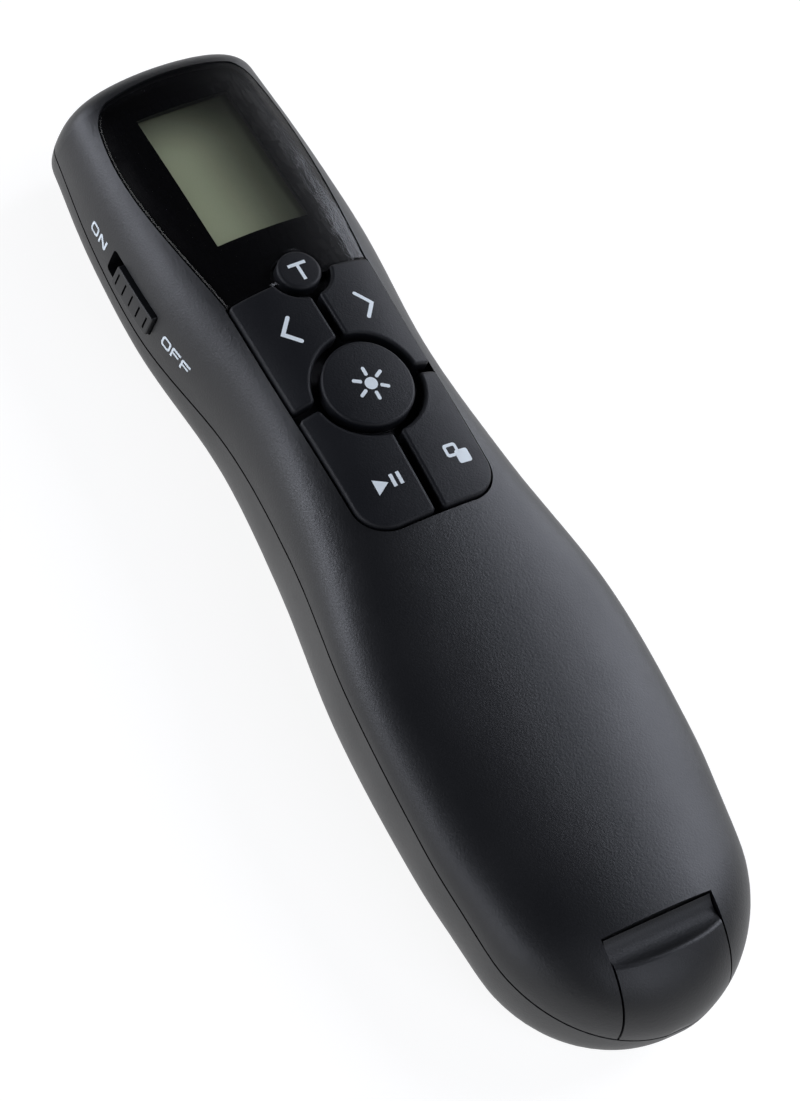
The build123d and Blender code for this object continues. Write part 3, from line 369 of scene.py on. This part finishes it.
# %% [markdown]
# ## Printed legends
# The white legends are pad-printed: flat ink shapes that follow the plastic below them. They
# could be a picture laid on the keys, but that blurs close up. Here each is drawn flat as an
# outline, diced into small faces, dropped straight onto the surface and given the thickness of
# ink. The same steps serve every legend. The drawings are in millimetres.

# %% Arcs and rounded boxes
CAP_STEPS = 8
CORNER_STEPS = 5


def arc(centre, radius, start, end, steps=CAP_STEPS):
    """Points on an arc, angles in degrees."""
    turns = [math.radians(start + (end - start) * i / steps) for i in range(steps + 1)]
    return [(centre[0] + radius * math.cos(t), centre[1] + radius * math.sin(t)) for t in turns]


def rounded_box(x0, y0, x1, y1, radius):
    """Outline of a box with round corners."""
    corners = ((x1 - radius, y1 - radius, 0), (x0 + radius, y1 - radius, 90),
               (x0 + radius, y0 + radius, 180), (x1 - radius, y0 + radius, 270))
    return [point for x, y, turn in corners
            for point in arc((x, y), radius, turn, turn + 90, CORNER_STEPS)]


print("points round a box:", len(rounded_box(0, 0, 2, 1, 0.2)))

# %% Pen strokes
MITRE_LIMIT = 0.3


def stroke(points, width):
    """Outline of a pen stroke along points, mitred at its corners and round at its ends."""
    half = width / 2
    points = [Vector(p) for p in points]
    ways = [(b - a).normalized() for a, b in zip(points, points[1:])]
    left, right = [], []
    for i, point in enumerate(points):
        before, after = ways[max(i - 1, 0)], ways[min(i, len(ways) - 1)]
        middle = (before + after).normalized()
        side = Vector((-middle.y, middle.x)) * half / max(middle.dot(before), MITRE_LIMIT)
        left.append(tuple(point + side))
        right.append(tuple(point - side))
    first, last = (math.degrees(math.atan2(way.y, way.x)) for way in (ways[0], ways[-1]))
    last_cap = arc(points[-1], half, last + 90, last - 90)[1:-1]
    first_cap = arc(points[0], half, first - 90, first - 270)[1:-1]
    return left + last_cap + right[::-1] + first_cap


print("points round a stroke:", len(stroke([(0, 0), (1, 0)], 0.5)))

# %% Filling outlines
def evaluated_mesh(drawing):
    """A plain mesh of a curve or a modified object, which is then removed."""
    bpy.context.view_layer.update()
    mesh = bpy.data.meshes.new_from_object(drawing.evaluated_get(
        bpy.context.evaluated_depsgraph_get()))
    bpy.data.objects.remove(drawing)
    return mesh


def flat_mesh(name, outlines):
    """Fills outlines, with holes where one lies in another."""
    curve = bpy.data.curves.new(name, "CURVE")
    curve.dimensions = "2D"
    curve.fill_mode = "FRONT"
    for outline in outlines:
        spline = curve.splines.new("POLY")
        spline.points.add(len(outline) - 1)
        for point, (x, y) in zip(spline.points, outline):
            point.co = (x * MM, y * MM, 0, 1)
        spline.use_cyclic_u = True
    drawing = bpy.data.objects.new(name + " drawing", curve)
    bpy.context.collection.objects.link(drawing)
    return evaluated_mesh(drawing)


trial = flat_mesh("trial", [rounded_box(0, 0, 2, 1, 0.2)])
print("faces in a filled box:", len(trial.polygons))

# %% Dicing
INK_STEP = 0.35 * MM
SAME_POINT = 1e-7


def dice(mesh, step):
    """Cuts a flat mesh on a square grid, so that it can bend."""
    work = bmesh.new()
    work.from_mesh(mesh)
    bmesh.ops.remove_doubles(work, verts=work.verts, dist=SAME_POINT)
    for axis in (0, 1):
        low = min(v.co[axis] for v in work.verts)
        high = max(v.co[axis] for v in work.verts)
        place = low + step
        while place < high:
            spot, way = Vector((0, 0, 0)), Vector((0, 0, 0))
            spot[axis], way[axis] = place, 1
            bmesh.ops.bisect_plane(work, geom=work.verts[:] + work.edges[:] + work.faces[:],
                                   plane_co=spot, plane_no=way)
            place += step
    work.to_mesh(mesh)
    work.free()


dice(trial, INK_STEP)
print("faces once diced:", len(trial.polygons))
bpy.data.meshes.remove(trial)

# %% White ink
INK_WHITE = (0.77, 0.83, 0.85)

white_ink = new_finish("white ink", INK_WHITE, roughness=0.55)
vary_roughness(white_ink, 0.6 * MM, 0.5, 0.62)

# %% Laying ink on a surface
INK_LIFT = 0.02 * MM
INK_DEPTH = 0.03 * MM
REACH = 12 * MM


def surface_of(name):
    """Search tree of a CAD piece's surface."""
    mesh = cad_pieces[name].data
    return BVHTree.FromPolygons([v.co.copy() for v in mesh.vertices],
                                [list(face.vertices) for face in mesh.polygons])


def lay_flat_on(mesh, surface, origin, across, up):
    """Drops a flat mesh onto a surface and returns the direction that it faces."""
    across, up = Vector(across).normalized(), Vector(up).normalized()
    out = across.cross(up)
    for vertex in mesh.vertices:
        above = Vector(origin) + across * vertex.co.x + up * vertex.co.y + out * REACH
        hit = surface.ray_cast(above, -out)[0]
        vertex.co = hit + out * INK_LIFT
    return out


def face_outwards(mesh, out):
    """Turns every face to look along out."""
    work = bmesh.new()
    work.from_mesh(mesh)
    for face in work.faces:
        if face.normal.dot(out) < 0:
            face.normal_flip()
    work.to_mesh(mesh)
    work.free()


print("ink is", round(INK_DEPTH / MM, 3), "mm thick")

# %% Printing a legend
RIGHT, FORWARD = (1, 0, 0), (0, 1, 0)
INWARDS = -1.0


def print_legend(name, drawing, surface, origin, body, across=RIGHT, up=FORWARD):
    """Prints outlines or a flat mesh on a surface: across and up span the drawing."""
    mesh = drawing if isinstance(drawing, bpy.types.Mesh) else flat_mesh(name, drawing)
    dice(mesh, INK_STEP)
    out = lay_flat_on(mesh, surface, origin, across, up)
    piece = bpy.data.objects.new(name, mesh)
    bpy.context.collection.objects.link(piece)
    mesh.materials.append(white_ink)
    face_outwards(mesh, out)
    thickness = piece.modifiers.new("ink thickness", "SOLIDIFY")
    thickness.thickness = INK_DEPTH
    thickness.offset = INWARDS
    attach(piece, body)
    print(name, "rides on", body, "with", len(mesh.polygons), "faces")


# %% [markdown]
# ## Key legends
# The timer key has a T, the two keys below it have an arrow each, and the lowest pair have a
# play-and-pause mark and two overlapping windows. A font could give the T, but not the other
# marks, and its shape would depend on what is installed. Short lists of corners are certain.
# Each legend rides on its key's own body, so it goes down when the key is pressed.

# %% Timer, previous and next
STROKE = 0.5
ABOVE_KEYS = 25


def print_on_key(name, drawing, key, x, y):
    """Prints a legend on a key's top, with its middle at x and y."""
    print_legend(name, drawing, surface_of(key + "_key"),
                 (x * MM, y * MM, ABOVE_KEYS * MM), key + "_button")


timer_letter = [(-1.2, 1.23), (1.2, 1.23), (1.2, 0.80), (0.21, 0.80), (0.21, -1.3),
                (-0.21, -1.3), (-0.21, 0.80), (-1.2, 0.80)]
print_on_key("timer_letter", [timer_letter], "timer", 0, 32.3)
for side, key in ((-1, "previous"), (1, "next")):
    arrow = [(side * -0.75, 1.75), (side * 0.75, 0.0), (side * -0.75, -1.75)]
    print_on_key(key + "_arrow", [stroke(arrow, STROKE)], key, side * 5.45, 25.4)

# %% Play and swap
play_triangle = [(-1.75, 1.05), (-1.75, -1.05), (-0.05, 0.0)]
pause_bars = [rounded_box(left, -0.8, left + 0.45, 0.85, 0.08) for left in (0.35, 1.25)]
print_on_key("play_marks", [play_triangle, *pause_bars], "play", -4.2, 3.15)

back_window = rounded_box(-1.55, -0.25, 0.35, 1.5, 0.42)
back_opening = rounded_box(-1.15, 0.15, -0.05, 1.10, 0.15)
front_window = rounded_box(-0.35, -1.35, 1.5, 0.45, 0.30)
print_on_key("swap_back", [back_window, back_opening], "swap", 5.7, 3.5)
print_on_key("swap_front", [front_window], "swap", 5.7, 3.5)

# %% [markdown]
# ## Slider legends
# ON and OFF stand at the two ends of the power slider, in thin square letters with some round
# corners. They could be set in a font of that kind, but only where it is installed. Here each
# letter is an outline in a box of one size, and a word sets them side by side. The words run
# towards the tail, a little uphill, as the flank does.

# %% Square letters
WIDE, TALL = 0.85, 0.75
THIN = 0.3
INNER = WIDE - THIN
LOOSE = 0.3
upper_left = arc((-WIDE + LOOSE, TALL - LOOSE), LOOSE, 90, 180)
lower_right = arc((WIDE - LOOSE, -TALL + LOOSE), LOOSE, 270, 360)

letter_o = [rounded_box(-WIDE, -TALL, WIDE, TALL, 0.45),
            rounded_box(-INNER, -TALL + THIN, INNER, TALL - THIN, 0.22)]
letter_n = [[(-WIDE, -TALL), (-INNER, -TALL), (-INNER, 0.30), (0.42, -0.72), *lower_right,
             (WIDE, TALL), (INNER, TALL), (INNER, -0.30), (-0.42, 0.72), *upper_left]]
letter_f = [[(-WIDE, -TALL), (-INNER, -TALL), (-INNER, -0.14), (0.6, -0.14), (0.6, 0.14),
             (-INNER, 0.14), (-INNER, 0.45), (0.8, 0.45), (0.8, TALL), *upper_left]]
print("outlines in an O:", len(letter_o))

# %% ON and OFF
UPHILL = math.radians(4.5)
TOWARD_TAIL = (0, -math.cos(UPHILL), math.sin(UPHILL))
UPRIGHT = (0, math.sin(UPHILL), math.cos(UPHILL))


def word(letters, pitch):
    """Letters side by side, centred."""
    first = -pitch * (len(letters) - 1) / 2
    return [[(x + first + i * pitch, y) for x, y in outline]
            for i, letter in enumerate(letters) for outline in letter]


flank = surface_of("upper_shell")
print_legend("on_legend", word([letter_o, letter_n], pitch=2.05), flank,
             (-15 * MM, 51.0 * MM, 12.6 * MM), "case", TOWARD_TAIL, UPRIGHT)
print_legend("off_legend", word([letter_o, letter_f, letter_f], pitch=1.95), flank,
             (-15 * MM, 32.1 * MM, 13.9 * MM), "case", TOWARD_TAIL, UPRIGHT)

# %% [markdown]
# ## Sun mark
# The laser key shows a sun: a disc and six equal rays. The rays could be drawn one by one. They
# repeat about a centre, so Geometry Nodes make one ray, put a copy on each point of a circle
# and turn each along its radius. The result becomes a plain mesh and is printed as the others.

# %% Sizes of the sun
SUN_RAYS = 6
SUN_SIZES = (
    ("Rays", "NodeSocketInt", SUN_RAYS),
    ("Radius", "NodeSocketFloat", 1.72 * MM),
    ("Length", "NodeSocketFloat", 1.25 * MM),
    ("Width", "NodeSocketFloat", 0.45 * MM),
)


def sun_group():
    """An empty node group with the sun's sizes as its inputs."""
    tree = bpy.data.node_groups.new("sun rays", "GeometryNodeTree")
    for label, kind, value in SUN_SIZES:
        socket = tree.interface.new_socket(label, in_out="INPUT", socket_type=kind)
        socket.default_value = value
    tree.interface.new_socket("Geometry", in_out="OUTPUT", socket_type="NodeSocketGeometry")
    return tree


print("inputs of the sun:", ", ".join(label for label, kind, value in SUN_SIZES))

# %% One ray
RAY_END_STEPS = 6
NEARLY_HALF = 0.49


def round_ray(tree, given):
    """One flat ray, with ends that are nearly half circles."""
    add = tree.nodes.new
    bar = add("GeometryNodeCurvePrimitiveQuadrilateral")
    rounding = add("GeometryNodeFilletCurve")
    rounding.mode = "POLY"
    rounding.inputs["Count"].default_value = RAY_END_STEPS
    half = add("ShaderNodeMath")
    half.operation = "MULTIPLY"
    half.inputs[1].default_value = NEARLY_HALF
    fill = add("GeometryNodeFillCurve")
    wire(tree, (given.outputs["Length"], bar.inputs["Width"]),
         (given.outputs["Width"], bar.inputs["Height"]),
         (given.outputs["Width"], half.inputs[0]),
         (half.outputs["Value"], rounding.inputs["Radius"]),
         (bar.outputs["Curve"], rounding.inputs["Curve"]),
         (rounding.outputs["Curve"], fill.inputs["Curve"]))
    return fill.outputs["Mesh"]


print("steps round a ray's corner:", RAY_END_STEPS)

# %% All rays
def sun_tree():
    """Rays on the points of a circle, made real and inked."""
    tree = sun_group()
    add = tree.nodes.new
    given, result = add("NodeGroupInput"), add("NodeGroupOutput")
    ring = add("GeometryNodeMeshCircle")
    place = add("GeometryNodeInputPosition")
    turn = add("FunctionNodeAlignRotationToVector")
    turn.axis = "X"
    copies = add("GeometryNodeInstanceOnPoints")
    real = add("GeometryNodeRealizeInstances")
    ink = add("GeometryNodeSetMaterial")
    ink.inputs["Material"].default_value = white_ink
    wire(tree, (given.outputs["Rays"], ring.inputs["Vertices"]),
         (given.outputs["Radius"], ring.inputs["Radius"]),
         (ring.outputs["Mesh"], copies.inputs["Points"]),
         (round_ray(tree, given), copies.inputs["Instance"]),
         (place.outputs["Position"], turn.inputs["Vector"]),
         (turn.outputs["Rotation"], copies.inputs["Rotation"]),
         (copies.outputs["Instances"], real.inputs["Geometry"]),
         (real.outputs["Geometry"], ink.inputs["Geometry"]),
         (ink.outputs["Geometry"], result.inputs["Geometry"]))
    return tree


holder = bpy.data.objects.new("sun rays", bpy.data.meshes.new("sun rays"))
bpy.context.collection.objects.link(holder)
holder.modifiers.new("rays", "NODES").node_group = sun_tree()
ray_mesh = evaluated_mesh(holder)
print("sun rays:", len(ray_mesh.polygons), "faces")

# %% Print the sun
SUN_PLACE = (0.1 * MM, 15.3 * MM, 25.5 * MM)
DISC_RADIUS = 0.82
DISC_STEP = 15
half_gap = math.pi / SUN_RAYS
sun_right = (math.cos(half_gap), math.sin(half_gap), 0)
sun_forward = (-math.sin(half_gap), math.cos(half_gap), 0)
sun_disc = arc((0, 0), DISC_RADIUS, 0, 360 - DISC_STEP, 360 // DISC_STEP - 1)

laser_top = surface_of("laser_key")
print_legend("sun_rays", ray_mesh, laser_top, SUN_PLACE, "laser_button", sun_right, sun_forward)
print_legend("sun_disc", [sun_disc], laser_top, SUN_PLACE, "laser_button")

# %% [markdown]
# ## Floor
# The clicker lies on a plain white floor. Lamps strong enough to turn a floor white would wash
# out the plastic. So the floor glows instead, but only for rays from the camera, for glossy
# rays and for rays through something clear. Reflections then show the same white. Diffuse rays
# meet a plain pale floor, and the part of it that is not glow keeps the piece's shadow.

# %% What sees the glow
def glow_sight(tree):
    """One for camera, glossy and transmission rays, and zero for others."""
    seen = tree.nodes.new("ShaderNodeLightPath")
    sight = seen.outputs["Is Camera Ray"]
    for ray in ("Is Glossy Ray", "Is Transmission Ray"):
        larger = tree.nodes.new("ShaderNodeMath")
        larger.operation = "MAXIMUM"
        wire(tree, (sight, larger.inputs[0]), (seen.outputs[ray], larger.inputs[1]))
        sight = larger.outputs["Value"]
    return sight


floor_paint = bpy.data.materials.new("white sweep")
floor_paint.use_nodes = True
floor_paint.node_tree.nodes.clear()
print("made:", floor_paint.name)

# %% Floor paint
PALE = (0.8, 0.8, 0.8, 1.0)
SHADOWED = (0.25, 0.25, 0.25, 1.0)
GLOW = 0.88

paint_tree = floor_paint.node_tree
lit_floor = paint_tree.nodes.new("ShaderNodeBsdfDiffuse")
lit_floor.inputs["Color"].default_value = PALE
seen_floor = paint_tree.nodes.new("ShaderNodeBsdfDiffuse")
seen_floor.inputs["Color"].default_value = SHADOWED
glow = paint_tree.nodes.new("ShaderNodeEmission")
glow.inputs["Strength"].default_value = GLOW
both = paint_tree.nodes.new("ShaderNodeAddShader")
choice = paint_tree.nodes.new("ShaderNodeMixShader")
surface = paint_tree.nodes.new("ShaderNodeOutputMaterial")
wire(paint_tree, (seen_floor.outputs["BSDF"], both.inputs[0]),
     (glow.outputs["Emission"], both.inputs[1]),
     (glow_sight(paint_tree), choice.inputs["Fac"]),
     (lit_floor.outputs["BSDF"], choice.inputs[1]),
     (both.outputs["Shader"], choice.inputs[2]),
     (choice.outputs["Shader"], surface.inputs["Surface"]))
print("floor glows with strength", GLOW)

# %% Floor
FLOOR = 3.0
floor_mesh = bpy.data.meshes.new("floor")
floor_mesh.from_pydata([(-FLOOR, -FLOOR, 0), (FLOOR, -FLOOR, 0), (FLOOR, FLOOR, 0),
                        (-FLOOR, FLOOR, 0)], [], [(0, 1, 2, 3)])
floor_mesh.materials.append(floor_paint)
floor = bpy.data.objects.new("floor", floor_mesh)
bpy.context.collection.objects.link(floor)
print("floor:", 2 * FLOOR, "m square")

# %% [markdown]
# ## Lamps
# Black plastic shows little colour of its own, and its shape is read from what it reflects. Five
# soft boxes stand round the clicker, as in a studio: the right one draws the sheen down the
# handle, the nose and left ones light the left flank, the tail one fills the end, and the low
# one gives the window its bright corner. Each is given by its direction, so that it is easy to
# move round the piece, and a table holds them all.

# %% Lamps
DAYLIGHT = (0.92, 0.96, 1.09)
LAMPS = (
    # name, turn and rise in degrees, distance, width and height in metres, brightness
    ("right box", 3, 40, 1.0, 0.52, 0.52, 6.2),
    ("nose box", 138, 9, 0.8, 0.52, 0.26, 8.0),
    ("left box", 188, 14, 0.8, 0.50, 0.30, 2.4),
    ("tail box", -80, 42, 1.0, 0.60, 0.50, 2.6),
    ("low box", 15.5, 11, 1.0, 0.46, 0.34, 4.3),
)


def soft_box(name, turn, rise, distance, wide, tall, brightness):
    """A soft lamp, by its direction from the piece and aimed at the piece."""
    light = bpy.data.lights.new(name, "AREA")
    light.shape = "RECTANGLE"
    light.size, light.size_y = wide, tall
    light.energy = brightness * math.pi * wide * tall
    light.color = DAYLIGHT
    lamp = bpy.data.objects.new(name, light)
    turn, rise = math.radians(turn), math.radians(rise)
    towards = Vector((math.cos(rise) * math.cos(turn), math.cos(rise) * math.sin(turn),
                      math.sin(rise)))
    lamp.location = towards * distance
    lamp.rotation_euler = towards.to_track_quat("Z", "Y").to_euler()
    bpy.context.collection.objects.link(lamp)
    print(name, "gives", round(light.energy, 2), "W")


for row in LAMPS:
    soft_box(*row)

# %% [markdown]
# ## Sky
# Outside the lamps the studio is dim. An even grey world would lift the black of every surface
# that faces up. This one is brighter at the horizon, where it rounds off the flanks, and almost
# dark overhead, so that the tops stay deep. The height of the direction drives its strength.

# %% Sky
SKY_COLOUR = (0.95, 0.97, 1.0, 1.0)
LOW_SKY, HIGH_SKY = 0.1, 0.65
HORIZON_STRENGTH, OVERHEAD_STRENGTH = 0.45, 0.012

world = bpy.data.worlds.new("studio")
bpy.context.scene.world = world
world.use_nodes = True
sky_tree = world.node_tree
sky = sky_tree.nodes["Background"]
sky.inputs["Color"].default_value = SKY_COLOUR
direction = sky_tree.nodes.new("ShaderNodeTexCoord")
height = sky_tree.nodes.new("ShaderNodeSeparateXYZ")
dimming = sky_tree.nodes.new("ShaderNodeMapRange")
for socket, value in (("From Min", LOW_SKY), ("From Max", HIGH_SKY),
                      ("To Min", HORIZON_STRENGTH), ("To Max", OVERHEAD_STRENGTH)):
    dimming.inputs[socket].default_value = value
wire(sky_tree, (direction.outputs["Generated"], height.inputs["Vector"]),
     (height.outputs["Z"], dimming.inputs["Value"]),
     (dimming.outputs["Result"], sky.inputs["Strength"]))
print("sky from", HORIZON_STRENGTH, "down to", OVERHEAD_STRENGTH)

# %% [markdown]
# ## Close
# The Standard view shows colours as they are written.

# %% Close
bpy.context.scene.view_settings.view_transform = "Standard"
